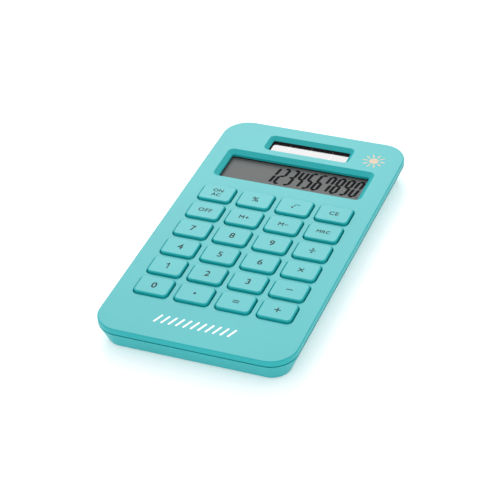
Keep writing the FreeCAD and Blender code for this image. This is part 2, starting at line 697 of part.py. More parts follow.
# ---------------------------------------------------------------- the nodes
def build():
    os.makedirs("parts", exist_ok=True)
    save("top_shell", top_shell())
    save("bottom_shell", bottom_shell())
    save("battery_cover", battery_cover())
    save("case_screws", case_screws())
    save("rubber_feet", rubber_feet())
    for name, x, y in key_places():
        save(f"key_{name}", key_cap(x, y))
    save("keypad_mat", keypad_mat())
    save("keypad_domes", keypad_domes())
    save("contact_pills", contact_pills())
    save("circuit_board", circuit_board())
    save("contact_pads", contact_pads())
    save("board_screws", board_screws())
    save("chip_resin_cap", chip_resin_cap())
    save("ceramic_capacitors", ceramic_capacitors())
    save("chip_resistors", chip_resistors())
    save("clamp_diode", clamp_diode())
    save("lcd_gasket", gasket(LCD_INNER, LCD_FLOOR, COLLAR_END, LCD_Y))
    save("lcd_front_polariser", display_layer(LCD_FLOOR, FILM))
    save("lcd_front_glass", display_layer(FRONT_PANE_TOP, PANE, LEDGE))
    save("lcd_rear_glass", display_layer(REAR_PANE_TOP, PANE))
    save("lcd_rear_polariser", display_layer(REAR_FILM_TOP, FILM))
    save("display_ribbon", display_ribbon())
    save("lcd_foam_pads", foam_pads())
    save("solar_gasket", gasket(SOLAR_INNER, SOLAR_FLOOR, FACE_BACK, SOLAR_Y))
    save("solar_cell", solar_cell())
    save("solar_lead_red", solar_lead(RED_LEAD_X))
    save("solar_lead_black", solar_lead(BLACK_LEAD_X))
    save("battery_cell", battery_cell())
    save("battery_contact_negative", battery_contact_negative())
    save("battery_contact_positive", battery_contact_positive())


build()
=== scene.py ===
# %% [markdown]
# # Giving a slim desk calculator its looks
#
# The frame holds every part of the calculator at its real size and place:
# two case shells, 24 key caps, a display, a solar cell and what lies inside.
# This lesson adds what the engineering model leaves out: softened edges,
# printed legends, the display's digits, and a finish for every material.

# %% Load the frame
import bpy
import json
import math
from mathutils import Matrix, Vector

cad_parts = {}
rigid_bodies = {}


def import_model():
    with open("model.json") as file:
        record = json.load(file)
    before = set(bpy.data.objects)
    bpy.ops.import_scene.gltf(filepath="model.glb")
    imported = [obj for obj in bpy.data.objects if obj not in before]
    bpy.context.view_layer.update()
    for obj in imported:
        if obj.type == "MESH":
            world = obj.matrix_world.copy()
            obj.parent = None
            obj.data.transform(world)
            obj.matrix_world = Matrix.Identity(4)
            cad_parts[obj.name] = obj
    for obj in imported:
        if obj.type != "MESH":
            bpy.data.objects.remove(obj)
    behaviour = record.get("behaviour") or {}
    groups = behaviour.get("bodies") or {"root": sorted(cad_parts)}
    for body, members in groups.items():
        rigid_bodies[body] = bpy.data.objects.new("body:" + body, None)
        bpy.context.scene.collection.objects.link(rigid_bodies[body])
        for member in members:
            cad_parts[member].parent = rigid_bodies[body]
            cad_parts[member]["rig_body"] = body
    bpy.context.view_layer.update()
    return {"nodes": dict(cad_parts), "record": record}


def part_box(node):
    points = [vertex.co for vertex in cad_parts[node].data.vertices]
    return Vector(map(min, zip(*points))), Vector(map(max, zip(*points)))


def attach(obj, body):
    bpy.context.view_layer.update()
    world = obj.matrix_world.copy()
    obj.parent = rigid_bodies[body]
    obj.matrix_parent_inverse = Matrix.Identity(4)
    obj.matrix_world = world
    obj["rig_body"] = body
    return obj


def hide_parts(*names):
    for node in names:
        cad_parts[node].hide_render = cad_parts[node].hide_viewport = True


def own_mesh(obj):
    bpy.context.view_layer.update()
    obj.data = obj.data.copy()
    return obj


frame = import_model()
MM = 0.001

# %% [markdown]
# ## Small helpers
#
# Every operator works on what is selected, and loading leaves all parts
# selected, so each step starts by clearing the selection. Places are read from
# the frame: the case face, the key tops and the display all have a height
# there, and nothing is measured twice.


# %% Helpers for selecting and placing
def only(piece):
    """Make one object the selected and active one."""
    if bpy.context.object and bpy.context.object.mode != "OBJECT":
        bpy.ops.object.mode_set(mode="OBJECT")
    bpy.ops.object.select_all(action="DESELECT")
    piece.select_set(True)
    bpy.context.view_layer.objects.active = piece


def middle(node):
    low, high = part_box(node)
    return (low + high) / 2


def freeze(piece):
    """Put the piece's place into its mesh and leave the object at the origin."""
    only(piece)
    bpy.ops.object.transform_apply(location=True, rotation=True, scale=True)


def face_outwards(piece):
    only(piece)
    bpy.ops.object.mode_set(mode="EDIT")
    bpy.ops.mesh.select_all(action="SELECT")
    bpy.ops.mesh.normals_make_consistent(inside=False)
    bpy.ops.object.mode_set(mode="OBJECT")


def join(pieces, name):
    only(pieces[0])
    for piece in pieces:
        piece.select_set(True)
    bpy.ops.object.join()
    whole = bpy.context.object
    whole.name = name
    return whole


NODE_SLOT = {entry["node"]: entry["material_slot"] for entry in frame["record"]["subparts"]}
KEYS = sorted(name for name in frame["nodes"] if name.startswith("key_"))
FACE_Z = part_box("top_shell")[1].z
KEY_TOP_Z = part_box(KEYS[0])[1].z
print("face at", round(FACE_Z / MM, 2), "mm, key tops at", round(KEY_TOP_Z / MM, 2), "mm")

# %% [markdown]
# ## Two shared shader groups
#
# Moulded plastic is never quite even. A faint, broad drift in the colour comes
# from how the melt flowed, and a very fine grain comes from the spark-eroded
# mould. Both are useful on many materials, so each is a node group that puts
# out a plain value, to be wired into colour, roughness or bump.


# %% Shader groups: grain and drift
def noise_group(name, detail, roughness):
    """A group with a scale and an amount that gives noise centred on one half."""
    group = bpy.data.node_groups.new(name, "ShaderNodeTree")
    group.interface.new_socket("Scale", in_out="INPUT", socket_type="NodeSocketFloat")
    group.interface.new_socket("Amount", in_out="INPUT", socket_type="NodeSocketFloat")
    group.interface.new_socket("Value", in_out="OUTPUT", socket_type="NodeSocketFloat")
    nodes, links = group.nodes, group.links
    entry = nodes.new("NodeGroupInput")
    leave = nodes.new("NodeGroupOutput")
    coordinates = nodes.new("ShaderNodeTexCoord")
    noise = nodes.new("ShaderNodeTexNoise")
    noise.inputs["Detail"].default_value = detail
    noise.inputs["Roughness"].default_value = roughness
    centred = nodes.new("ShaderNodeMath")
    centred.operation = "SUBTRACT"
    centred.inputs[1].default_value = 0.5
    scaled = nodes.new("ShaderNodeMath")
    scaled.operation = "MULTIPLY_ADD"
    scaled.inputs[2].default_value = 0.5
    links.new(coordinates.outputs["Object"], noise.inputs["Vector"])
    links.new(entry.outputs["Scale"], noise.inputs["Scale"])
    links.new(noise.outputs["Fac"], centred.inputs[0])
    links.new(centred.outputs[0], scaled.inputs[0])
    links.new(entry.outputs["Amount"], scaled.inputs[1])
    links.new(scaled.outputs[0], leave.inputs["Value"])
    return group


GRAIN = noise_group("mould_grain", detail=3.0, roughness=0.6)
DRIFT = noise_group("colour_drift", detail=2.0, roughness=0.45)

# %% [markdown]
# ## A builder for everyday finishes
#
# Most finishes here differ only in numbers: base colour, how the colour
# drifts, how rough the surface is, and how deep and fine its grain is. One
# function wires those numbers up. The special finishes, such as the display
# film and the solar cell, get functions of their own further down.


# %% The finish builder
PLASTIC_IOR = 1.5


def blank_material(name):
    material = bpy.data.materials.new(name)
    material.use_nodes = True
    nodes = material.node_tree.nodes
    shader = nodes["Principled BSDF"]
    return material, nodes, material.node_tree.links, shader


def group_node(nodes, group, scale, amount):
    node = nodes.new("ShaderNodeGroup")
    node.node_tree = group
    node.inputs["Scale"].default_value = scale
    node.inputs["Amount"].default_value = amount
    return node


def ramp_node(nodes, stops):
    """A colour ramp from a list of (position, colour)."""
    ramp = nodes.new("ShaderNodeValToRGB")
    elements = ramp.color_ramp.elements
    elements[0].position, elements[0].color = stops[0][0], (*stops[0][1], 1)
    elements[1].position, elements[1].color = stops[-1][0], (*stops[-1][1], 1)
    for position, colour in stops[1:-1]:
        element = elements.new(position)
        element.color = (*colour, 1)
    return ramp


def add_bump(nodes, links, shader, height, distance):
    bump = nodes.new("ShaderNodeBump")
    bump.inputs["Strength"].default_value = 1.0
    bump.inputs["Distance"].default_value = distance
    links.new(height, bump.inputs["Height"])
    links.new(bump.outputs["Normal"], shader.inputs["Normal"])


def add_roughness(nodes, links, shader, value, low, high):
    spread = nodes.new("ShaderNodeMapRange")
    spread.inputs["To Min"].default_value = low
    spread.inputs["To Max"].default_value = high
    links.new(value, spread.inputs["Value"])
    links.new(spread.outputs["Result"], shader.inputs["Roughness"])


def finish(name, colour, drift, drift_scale, rough, grain_scale, grain_depth,
           metallic=0.0, specular=0.5):
    """An even material with a drift in its colour and a fine grain."""
    material, nodes, links, shader = blank_material(name)
    tone = group_node(nodes, DRIFT, drift_scale, 1.0)
    darker = tuple(channel * (1 - drift) for channel in colour)
    lighter = tuple(min(1.0, channel * (1 + drift)) for channel in colour)
    ramp = ramp_node(nodes, [(0.3, darker), (0.7, lighter)])
    grain = group_node(nodes, GRAIN, grain_scale, 1.0)
    links.new(tone.outputs["Value"], ramp.inputs["Fac"])
    links.new(ramp.outputs["Color"], shader.inputs["Base Color"])
    add_roughness(nodes, links, shader, grain.outputs["Value"], *rough)
    add_bump(nodes, links, shader, grain.outputs["Value"], grain_depth)
    shader.inputs["Metallic"].default_value = metallic
    shader.inputs["Specular IOR Level"].default_value = specular
    shader.inputs["IOR"].default_value = PLASTIC_IOR
    return material


# %% [markdown]
# ## The turquoise plastic
#
# The case and the keys share one dyed plastic with a fine satin texture. Its
# dye takes out nearly all red, so walls that light reaches only by bouncing
# look deep turquoise, while the flat top looks paler: a rough surface throws a
# veil of white light back at a low viewing angle. The colour itself is
# therefore set deeper than the face looks.

# %% Case and key plastics
TURQUOISE = (0.005, 0.40, 0.415)
PLASTIC_GLOSS = 0.42
case_plastic = finish("case_plastic", TURQUOISE, drift=0.03, drift_scale=25.0, rough=(0.36, 0.44),
                      grain_scale=4200.0, grain_depth=0.006 * MM, specular=PLASTIC_GLOSS)
key_plastic = finish("key_plastic", TURQUOISE, drift=0.02, drift_scale=60.0, rough=(0.34, 0.42),
                     grain_scale=5200.0, grain_depth=0.004 * MM, specular=PLASTIC_GLOSS)
print("turquoise plastics made")

# %% [markdown]
# ## Finishes of the hidden parts
#
# A calculator on a bench shows its insides too. Plated screws, silicone,
# carbon print, foam, insulation and solder-masked board each get their own
# roughness and colour, so an opened model still reads correctly.

# %% Simple finishes for the inner parts
# name: colour, drift, drift scale, roughness range, grain scale, grain depth in mm, metallic
SIMPLE_FINISHES = {
    "foot_rubber": ((0.018, 0.018, 0.02), 0.2, 300, (0.75, 0.9), 3500, 0.02, 0),
    "silicone": ((0.62, 0.64, 0.65), 0.05, 90, (0.5, 0.62), 2500, 0.006, 0),
    "carbon": ((0.012, 0.012, 0.013), 0.3, 700, (0.65, 0.85), 6000, 0.01, 0),
    "black_resin": ((0.008, 0.008, 0.009), 0.2, 200, (0.12, 0.28), 900, 0.01, 0),
    "capacitor_ceramic": ((0.42, 0.27, 0.13), 0.1, 600, (0.25, 0.4), 5000, 0.004, 0),
    "resistor_black": ((0.014, 0.014, 0.016), 0.2, 700, (0.2, 0.35), 5000, 0.003, 0),
    "black_foam": ((0.008, 0.008, 0.009), 0.3, 900, (0.85, 0.98), 3800, 0.05, 0),
    "grey_foam": ((0.10, 0.10, 0.105), 0.3, 900, (0.85, 0.98), 2400, 0.08, 0),
    "rear_film": ((0.36, 0.38, 0.36), 0.05, 120, (0.4, 0.55), 4500, 0.004, 0),
    "ribbon_film": ((0.45, 0.18, 0.035), 0.1, 200, (0.22, 0.34), 3000, 0.002, 0),
    "red_insulation": ((0.42, 0.012, 0.010), 0.1, 250, (0.35, 0.48), 3000, 0.005, 0),
    "black_insulation": ((0.01, 0.01, 0.011), 0.1, 250, (0.35, 0.48), 3000, 0.005, 0),
    "screw_steel": ((0.55, 0.55, 0.57), 0.1, 500, (0.22, 0.38), 2600, 0.004, 1),
    "cell_steel": ((0.62, 0.61, 0.60), 0.06, 260, (0.16, 0.3), 2200, 0.002, 1),
    "contact_metal": ((0.72, 0.52, 0.22), 0.08, 260, (0.2, 0.34), 2600, 0.003, 1),
}
FINISHES = {"case_plastic": case_plastic, "key_plastic": key_plastic}
for name, (colour, drift, drift_scale, rough, grain_scale, depth, metallic) in SIMPLE_FINISHES.items():
    FINISHES[name] = finish(name, colour, drift, drift_scale, rough, grain_scale, depth * MM, metallic)
print(len(FINISHES), "simple finishes")


# %% [markdown]
# ## Glass, film, board and solar cell
#
# - The display's panes are clear glass with a green tint.
# - Its front polariser is an anti-glare film: grey, and rough enough to show
#   no mirror image.
# - The circuit board has copper tracks under a green mask. A brick pattern
#   turned on its side gives runs of parallel tracks.
# - The solar cell is polished glass over dark silicon, cut into strips by
#   thin laser lines. Its surface is almost a mirror at a low angle.

# %% Special finishes
SOLAR_STRIPS = 4
SOLAR_LINE_SHARE = 0.014    # half a laser line as a share of a strip's width
DIODE_BAND_START = 0.66     # where along the diode its black band starts


def display_glass():
    material, nodes, links, shader = blank_material("display_glass")
    tone = group_node(nodes, DRIFT, 80.0, 1.0)
    ramp = ramp_node(nodes, [(0.3, (0.80, 0.90, 0.86)), (0.7, (0.86, 0.94, 0.91))])
    links.new(tone.outputs["Value"], ramp.inputs["Fac"])
    links.new(ramp.outputs["Color"], shader.inputs["Base Color"])
    shader.inputs["Transmission Weight"].default_value = 0.85
    shader.inputs["Roughness"].default_value = 0.04
    shader.inputs["IOR"].default_value = 1.52
    return material


def polariser_film():
    material, nodes, links, shader = blank_material("polariser_film")
    tone = group_node(nodes, DRIFT, 30.0, 1.0)
    ramp = ramp_node(nodes, [(0.25, (0.085, 0.088, 0.087)), (0.75, (0.100, 0.103, 0.101))])
    grain = group_node(nodes, GRAIN, 9000.0, 1.0)
    links.new(tone.outputs["Value"], ramp.inputs["Fac"])
    links.new(ramp.outputs["Color"], shader.inputs["Base Color"])
    add_roughness(nodes, links, shader, grain.outputs["Value"], 0.5, 0.62)
    add_bump(nodes, links, shader, grain.outputs["Value"], 0.0015 * MM)
    shader.inputs["Specular IOR Level"].default_value = 0.35
    return material


def board_laminate():
    material, nodes, links, shader = blank_material("board_laminate")
    coordinates = nodes.new("ShaderNodeTexCoord")
    tracks = nodes.new("ShaderNodeTexBrick")
    tracks.inputs["Scale"].default_value = 260.0
    tracks.inputs["Mortar Size"].default_value = 0.06
    tracks.inputs["Mortar Smooth"].default_value = 0.1
    tracks.inputs["Brick Width"].default_value = 4.5
    tracks.inputs["Row Height"].default_value = 0.32
    tracks.inputs["Color1"].default_value = (0.010, 0.085, 0.030, 1)
    tracks.inputs["Color2"].default_value = (0.012, 0.100, 0.034, 1)
    tracks.inputs["Mortar"].default_value = (0.035, 0.200, 0.060, 1)
    links.new(coordinates.outputs["Object"], tracks.inputs["Vector"])
    links.new(tracks.outputs["Color"], shader.inputs["Base Color"])
    add_roughness(nodes, links, shader, tracks.outputs["Fac"], 0.34, 0.24)
    add_bump(nodes, links, shader, tracks.outputs["Fac"], 0.03 * MM)
    return material


def solar_glass():
    material, nodes, links, shader = blank_material("solar_glass")
    coordinates = nodes.new("ShaderNodeTexCoord")
    split = nodes.new("ShaderNodeSeparateXYZ")
    low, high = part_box("solar_cell")
    pitch = (high.x - low.x) / SOLAR_STRIPS
    phase = nodes.new("ShaderNodeMath")
    phase.operation = "MULTIPLY_ADD"
    phase.inputs[1].default_value = 1 / pitch
    phase.inputs[2].default_value = -low.x / pitch
    saw = nodes.new("ShaderNodeMath")
    saw.operation = "PINGPONG"
    saw.inputs[1].default_value = 0.5
    line = nodes.new("ShaderNodeMath")
    line.operation = "LESS_THAN"
    line.inputs[1].default_value = SOLAR_LINE_SHARE
    tone = group_node(nodes, DRIFT, 60.0, 1.0)
    silicon = ramp_node(nodes, [(0.3, (0.020, 0.008, 0.012)), (0.7, (0.030, 0.012, 0.018))])
    blend = nodes.new("ShaderNodeMix")
    blend.data_type = "RGBA"
    blend.inputs["B"].default_value = (0.16, 0.13, 0.12, 1)
    links.new(coordinates.outputs["Object"], split.inputs[0])
    links.new(split.outputs["X"], phase.inputs[0])
    links.new(phase.outputs[0], saw.inputs[0])
    links.new(saw.outputs[0], line.inputs[0])
    links.new(line.outputs[0], blend.inputs["Factor"])
    links.new(tone.outputs["Value"], silicon.inputs["Fac"])
    links.new(silicon.outputs["Color"], blend.inputs["A"])
    links.new(blend.outputs["Result"], shader.inputs["Base Color"])
    add_roughness(nodes, links, shader, tone.outputs["Value"], 0.05, 0.08)
    shader.inputs["IOR"].default_value = 1.62
    shader.inputs["Coat Weight"].default_value = 0.7
    shader.inputs["Coat Roughness"].default_value = 0.03
    return material


def diode_glass():
    material, nodes, links, shader = blank_material("diode_glass")
    coordinates = nodes.new("ShaderNodeTexCoord")
    split = nodes.new("ShaderNodeSeparateXYZ")
    band = nodes.new("ShaderNodeMath")
    band.operation = "GREATER_THAN"
    low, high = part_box("clamp_diode")
    band.inputs[1].default_value = low.x + (high.x - low.x) * DIODE_BAND_START
    blend = nodes.new("ShaderNodeMix")
    blend.data_type = "RGBA"
    blend.inputs["A"].default_value = (0.55, 0.16, 0.05, 1)
    blend.inputs["B"].default_value = (0.01, 0.01, 0.01, 1)
    links.new(coordinates.outputs["Object"], split.inputs[0])
    links.new(split.outputs["X"], band.inputs[0])
    links.new(band.outputs[0], blend.inputs["Factor"])
    links.new(blend.outputs["Result"], shader.inputs["Base Color"])
    shader.inputs["Roughness"].default_value = 0.08
    shader.inputs["Coat Weight"].default_value = 0.8
    return material


FINISHES["display_glass"] = display_glass()
FINISHES["polariser_film"] = polariser_film()
FINISHES["board_laminate"] = board_laminate()
FINISHES["solar_glass"] = solar_glass()
FINISHES["diode_glass"] = diode_glass()

for node_name, node in frame["nodes"].items():
    node.data.materials.clear()
    node.data.materials.append(FINISHES[NODE_SLOT[node_name]])
print("every CAD node has its finish")


# %% [markdown]
# ## Softened shells and key caps
#
# Moulds have no perfectly sharp edges: each one is a little round that catches
# a thin line of light. A copy of the CAD mesh is welded, and a narrow bevel
# rounds what is still sharp. Normals weighted by face size then keep the flat
# areas flat. The copy stands in for the CAD node and rides on the same body.

# %% Refined copies of the moulded parts
SHARP_ANGLE = math.radians(28)
EDGE_ROUND = 0.1 * MM
WELD_DISTANCE = 0.002 * MM


def refined(node_name):
    """A welded, edge-softened copy that replaces a CAD node."""
    source = frame["nodes"][node_name]
    piece = bpy.data.objects.new(f"soft_{node_name}", source.data.copy())
    bpy.context.scene.collection.objects.link(piece)
    only(piece)
    if piece.data.has_custom_normals:
        bpy.ops.mesh.customdata_custom_splitnormals_clear()
    bpy.ops.object.mode_set(mode="EDIT")
    bpy.ops.mesh.select_all(action="SELECT")
    bpy.ops.mesh.remove_doubles(threshold=WELD_DISTANCE)
    bpy.ops.object.mode_set(mode="OBJECT")
    bevel = piece.modifiers.new("soft_edges", "BEVEL")
    bevel.width = EDGE_ROUND
    bevel.segments = 3
    bevel.limit_method = "ANGLE"
    bevel.angle_limit = SHARP_ANGLE
    bevel.use_clamp_overlap = True
    bpy.ops.object.modifier_apply(modifier=bevel.name)
    bpy.ops.object.shade_smooth_by_angle(angle=SHARP_ANGLE)
    weighted = piece.modifiers.new("flat_faces_stay_flat", "WEIGHTED_NORMAL")
    weighted.keep_sharp = True
    bpy.ops.object.modifier_apply(modifier=weighted.name)
    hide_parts(node_name)
    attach(piece, source["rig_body"])
    return piece


for node_name in ["top_shell", "bottom_shell", "battery_cover"] + KEYS:
    refined(node_name)
print("shells and", len(KEYS), "caps softened")

# %% [markdown]
# ## The key legends
#
# Each key carries one printed sign. A legend is typed as text, made a mesh,
# and laid on its key as a film of ink about a hundredth of a millimetre thick.
# The built-in font is thin, so each text is struck four times, every time a
# little to one side, as a typewriter makes bold letters. The operator signs are
# drawn as bars and dots, so that their strokes match each other. A legend rides
# on its key, and goes down when it is pressed.

# %% Ink and the drawing helpers
INK_THICKNESS = 0.012 * MM
legend_ink = finish("legend_ink", (0.012, 0.034, 0.038), 0.15, 900, (0.55, 0.7), 6000, 0.001 * MM,
                    specular=0.25)
STROKE = 0.42 * MM
STRIKE = 0.045 * MM
BOLD_STRIKE = 0.075 * MM
STRIKE_LIFT = 0.0005 * MM
CAPITAL_SHARE = 0.73    # a capital's height as a share of the text size


def ink_text(text, height, name, strike=STRIKE):
    """Text lying flat and centred, its capitals as high as height, struck four times."""
    bpy.ops.object.select_all(action="DESELECT")
    bpy.ops.object.text_add(location=(0, 0, 0))
    piece = bpy.context.object
    piece.name = name
    piece.data.body = text
    piece.data.align_x = "CENTER"
    piece.data.size = (height - 2 * strike) / CAPITAL_SHARE
    piece.data.space_character = 1.1
    piece.data.extrude = INK_THICKNESS / 2
    piece.data.resolution_u = 5
    bpy.ops.object.convert(target="MESH")
    piece = bpy.context.object
    corners = [vertex.co for vertex in piece.data.vertices]
    centre_x = (min(c.x for c in corners) + max(c.x for c in corners)) / 2
    centre_y = (min(c.y for c in corners) + max(c.y for c in corners)) / 2
    piece.data.transform(Matrix.Translation((-centre_x, -centre_y, 0)))
    strikes = []
    for index, (side_x, side_y) in enumerate(((-1, -1), (1, -1), (-1, 1), (1, 1))):
        copy = bpy.data.objects.new(f"{name}_{index}", piece.data.copy())
        bpy.context.scene.collection.objects.link(copy)
        shift = (side_x * strike, side_y * strike, index * STRIKE_LIFT)
        copy.data.transform(Matrix.Translation(shift))
        strikes.append(copy)
    bpy.data.objects.remove(piece)
    return join(strikes, name)


def bar(start, end, width):
    """A straight printed stroke with rounded ends."""
    start, end = Vector((*start, 0)), Vector((*end, 0))
    run = end - start
    bpy.ops.object.select_all(action="DESELECT")
    bpy.ops.mesh.primitive_plane_add(size=1, location=(0, 0, 0))
    piece = bpy.context.object
    piece.name = "bar"
    piece.data.transform(Matrix.Diagonal((run.length + width, width, 1, 1)))
    bpy.ops.object.mode_set(mode="EDIT")
    bpy.ops.mesh.select_all(action="SELECT")
    bpy.ops.mesh.bevel(offset=width * 0.45, segments=4, affect="VERTICES")
    bpy.ops.mesh.select_all(action="SELECT")
    bpy.ops.mesh.extrude_region_move(TRANSFORM_OT_translate={"value": (0, 0, INK_THICKNESS)})
    bpy.ops.mesh.select_all(action="SELECT")
    bpy.ops.mesh.normals_make_consistent(inside=False)
    bpy.ops.object.mode_set(mode="OBJECT")
    turn = Matrix.Rotation(math.atan2(run.y, run.x), 4, "Z")
    centre = (start + end) / 2 - Vector((0, 0, INK_THICKNESS / 2))
    piece.data.transform(Matrix.Translation(centre) @ turn)
    return piece


def dot(centre, radius, sides=20):
    """A printed disc with a slightly eased rim."""
    bpy.ops.object.select_all(action="DESELECT")
    bpy.ops.mesh.primitive_circle_add(vertices=sides, radius=radius, fill_type="NGON",
                                      location=(*centre, 0))
    piece = bpy.context.object
    piece.name = "dot"
    bpy.ops.object.mode_set(mode="EDIT")
    bpy.ops.mesh.select_all(action="SELECT")
    bpy.ops.mesh.inset(thickness=radius * 0.08)
    bpy.ops.mesh.select_all(action="SELECT")
    bpy.ops.mesh.extrude_region_move(TRANSFORM_OT_translate={"value": (0, 0, INK_THICKNESS)})
    bpy.ops.mesh.select_all(action="SELECT")
    bpy.ops.mesh.normals_make_consistent(inside=False)
    bpy.ops.object.mode_set(mode="OBJECT")
    freeze(piece)
    piece.data.transform(Matrix.Translation((0, 0, -INK_THICKNESS / 2)))
    return piece


# %% [markdown]
# The signs are lists of strokes and dots in millimetres about the key's middle;
# a dot has a place and a radius. A line of letters is a text with its height and
# its offset up the key, so two lines are two texts, one above the other.

# %% The legends and their places
DIGIT_HEIGHT = 3.0
WORD_HEIGHT = 2.1
LONG_WORD_HEIGHT = 1.764
TWO_LINE_HEIGHT = 1.848
PERCENT_HEIGHT = 2.73
LINE_OFFSET = 1.25
ROOT_STROKE = 0.7 * STROKE
SIGN_STROKES = {
    "key_plus": [((-1.0, 0), (1.0, 0)), ((0, -1.0), (0, 1.0))],
    "key_minus": [((-1.0, 0), (1.0, 0))],
    "key_times": [((-0.8, -0.8), (0.8, 0.8)), ((-0.8, 0.8), (0.8, -0.8))],
    "key_divide": [((-1.0, 0), (1.0, 0))],
    "key_equals": [((-0.95, 0.45), (0.95, 0.45)), ((-0.95, -0.45), (0.95, -0.45))],
    "key_square_root": [((-1.0, -0.2), (-0.6, -1.1)), ((-0.6, -1.1), (0.1, 1.1)),
                        ((0.1, 1.1), (1.7, 1.1))],
    "key_one": [((0.25, -1.3), (0.25, 1.3)), ((0.25, 1.3), (-0.5, 0.75))],
}
SIGN_DOTS = {
    "key_divide": [(0, 0.95, 0.4), (0, -0.95, 0.4)],
    "key_point": [(0, 0, 0.5)],
}
WORDS = {
    "key_zero": [("0", DIGIT_HEIGHT, 0)], "key_two": [("2", DIGIT_HEIGHT, 0)],
    "key_three": [("3", DIGIT_HEIGHT, 0)],
    "key_four": [("4", DIGIT_HEIGHT, 0)], "key_five": [("5", DIGIT_HEIGHT, 0)],
    "key_six": [("6", DIGIT_HEIGHT, 0)], "key_seven": [("7", DIGIT_HEIGHT, 0)],
    "key_eight": [("8", DIGIT_HEIGHT, 0)], "key_nine": [("9", DIGIT_HEIGHT, 0)],
    "key_off": [("OFF", WORD_HEIGHT, 0)], "key_memory_plus": [("M+", WORD_HEIGHT, 0)],
    "key_memory_minus": [("M−", WORD_HEIGHT, 0)], "key_memory_recall": [("MRC", LONG_WORD_HEIGHT, 0)],
    "key_percent": [("%", PERCENT_HEIGHT, 0)], "key_clear_entry": [("CE", WORD_HEIGHT, 0)],
    "key_on_clear": [("ON", TWO_LINE_HEIGHT, LINE_OFFSET), ("AC", TWO_LINE_HEIGHT, -LINE_OFFSET)],
}


def legend(key):
    """All the ink of one key, joined into one piece that rides on it."""
    inks = []
    for text, height, offset in WORDS.get(key, []):
        piece = ink_text(text, height * MM, "glyph", BOLD_STRIKE if text == "0" else STRIKE)
        piece.data.transform(Matrix.Translation((0, offset * MM, 0)))
        inks.append(piece)
    for start, end in SIGN_STROKES.get(key, []):
        width = ROOT_STROKE if key == "key_square_root" else STROKE
        inks.append(bar([value * MM for value in start], [value * MM for value in end], width))
    for x, y, radius in SIGN_DOTS.get(key, []):
        inks.append(dot((x * MM, y * MM), radius * MM))
    whole = join(inks, f"legend_{key[4:]}")
    centre = middle(key)
    lift = KEY_TOP_Z + INK_THICKNESS / 2
    whole.data.transform(Matrix.Translation((centre.x, centre.y, lift)))
    whole.data.materials.clear()
    whole.data.materials.append(legend_ink)
    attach(whole, frame["nodes"][key]["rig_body"])
    return whole


for key in KEYS:
    legend(key)
print(len(KEYS), "legends printed")

# %% [markdown]
# ## The display's digits
#
# The display draws each digit with up to seven bars. A bar is a thin lozenge:
# its ends are cut to points so that neighbours meet along a hairline gap. The
# whole digit leans a little to the right, which a shear gives. The digits are
# set from the right, as a calculator does.

# %% Segment digits on the display
DIGIT_PITCH = 3.56 * MM
SEGMENT_HEIGHT = 10.4 * MM
SEGMENT_WIDTH = 3.0 * MM
SEGMENT_STROKE = 1.1 * MM
SEGMENT_GAP = 0.05 * MM
LEAN = math.tan(math.radians(9))
DIGIT_RAISE = 0.8 * MM
PANE_MARGIN = 1.5 * MM      # the foam frame's width round the window
POINT_RADIUS = 0.28 * MM
POINT_GAP = 0.45 * MM
LAST_DIGIT_INSET = 2.85 * MM
SEGMENTS = {
    "1": "bc", "2": "abged", "3": "abgcd", "4": "fgbc", "5": "afgcd",
    "6": "afgecd", "7": "fabc", "8": "abcdefg", "9": "abcdfg", "0": "abcdef",
}
display_ink = finish("display_ink", (0.006, 0.006, 0.007), 0.2, 400, (0.55, 0.7), 9000, 0.001 * MM,
                     specular=0.03)
half_w = (SEGMENT_WIDTH - SEGMENT_STROKE) / 2
half_h = (SEGMENT_HEIGHT - SEGMENT_STROKE) / 2
SEGMENT_ENDS = {
    "a": ((-half_w, half_h), (half_w, half_h)),
    "b": ((half_w, half_h), (half_w, 0)),
    "c": ((half_w, 0), (half_w, -half_h)),
    "d": ((-half_w, -half_h), (half_w, -half_h)),
    "e": ((-half_w, -half_h), (-half_w, 0)),
    "f": ((-half_w, 0), (-half_w, half_h)),
    "g": ((-half_w, 0), (half_w, 0)),
}


def segment(start, end):
    """One lozenge-ended bar of a digit."""
    start, end = Vector((*start, 0)), Vector((*end, 0))
    run = end - start
    length = run.length - 2 * SEGMENT_GAP
    bpy.ops.object.select_all(action="DESELECT")
    bpy.ops.mesh.primitive_plane_add(size=1, location=(0, 0, 0))
    piece = bpy.context.object
    piece.data.transform(Matrix.Diagonal((length, SEGMENT_STROKE, 1, 1)))
    bpy.ops.object.mode_set(mode="EDIT")
    bpy.ops.mesh.select_all(action="SELECT")
    bpy.ops.mesh.bevel(offset=SEGMENT_STROKE * 0.48, segments=1, affect="VERTICES")
    bpy.ops.mesh.select_all(action="SELECT")
    bpy.ops.mesh.extrude_region_move(TRANSFORM_OT_translate={"value": (0, 0, INK_THICKNESS)})
    bpy.ops.mesh.select_all(action="SELECT")
    bpy.ops.mesh.normals_make_consistent(inside=False)
    bpy.ops.object.mode_set(mode="OBJECT")
    turn = Matrix.Rotation(math.atan2(run.y, run.x), 4, "Z")
    piece.data.transform(Matrix.Translation((start + end) / 2) @ turn)
    return piece


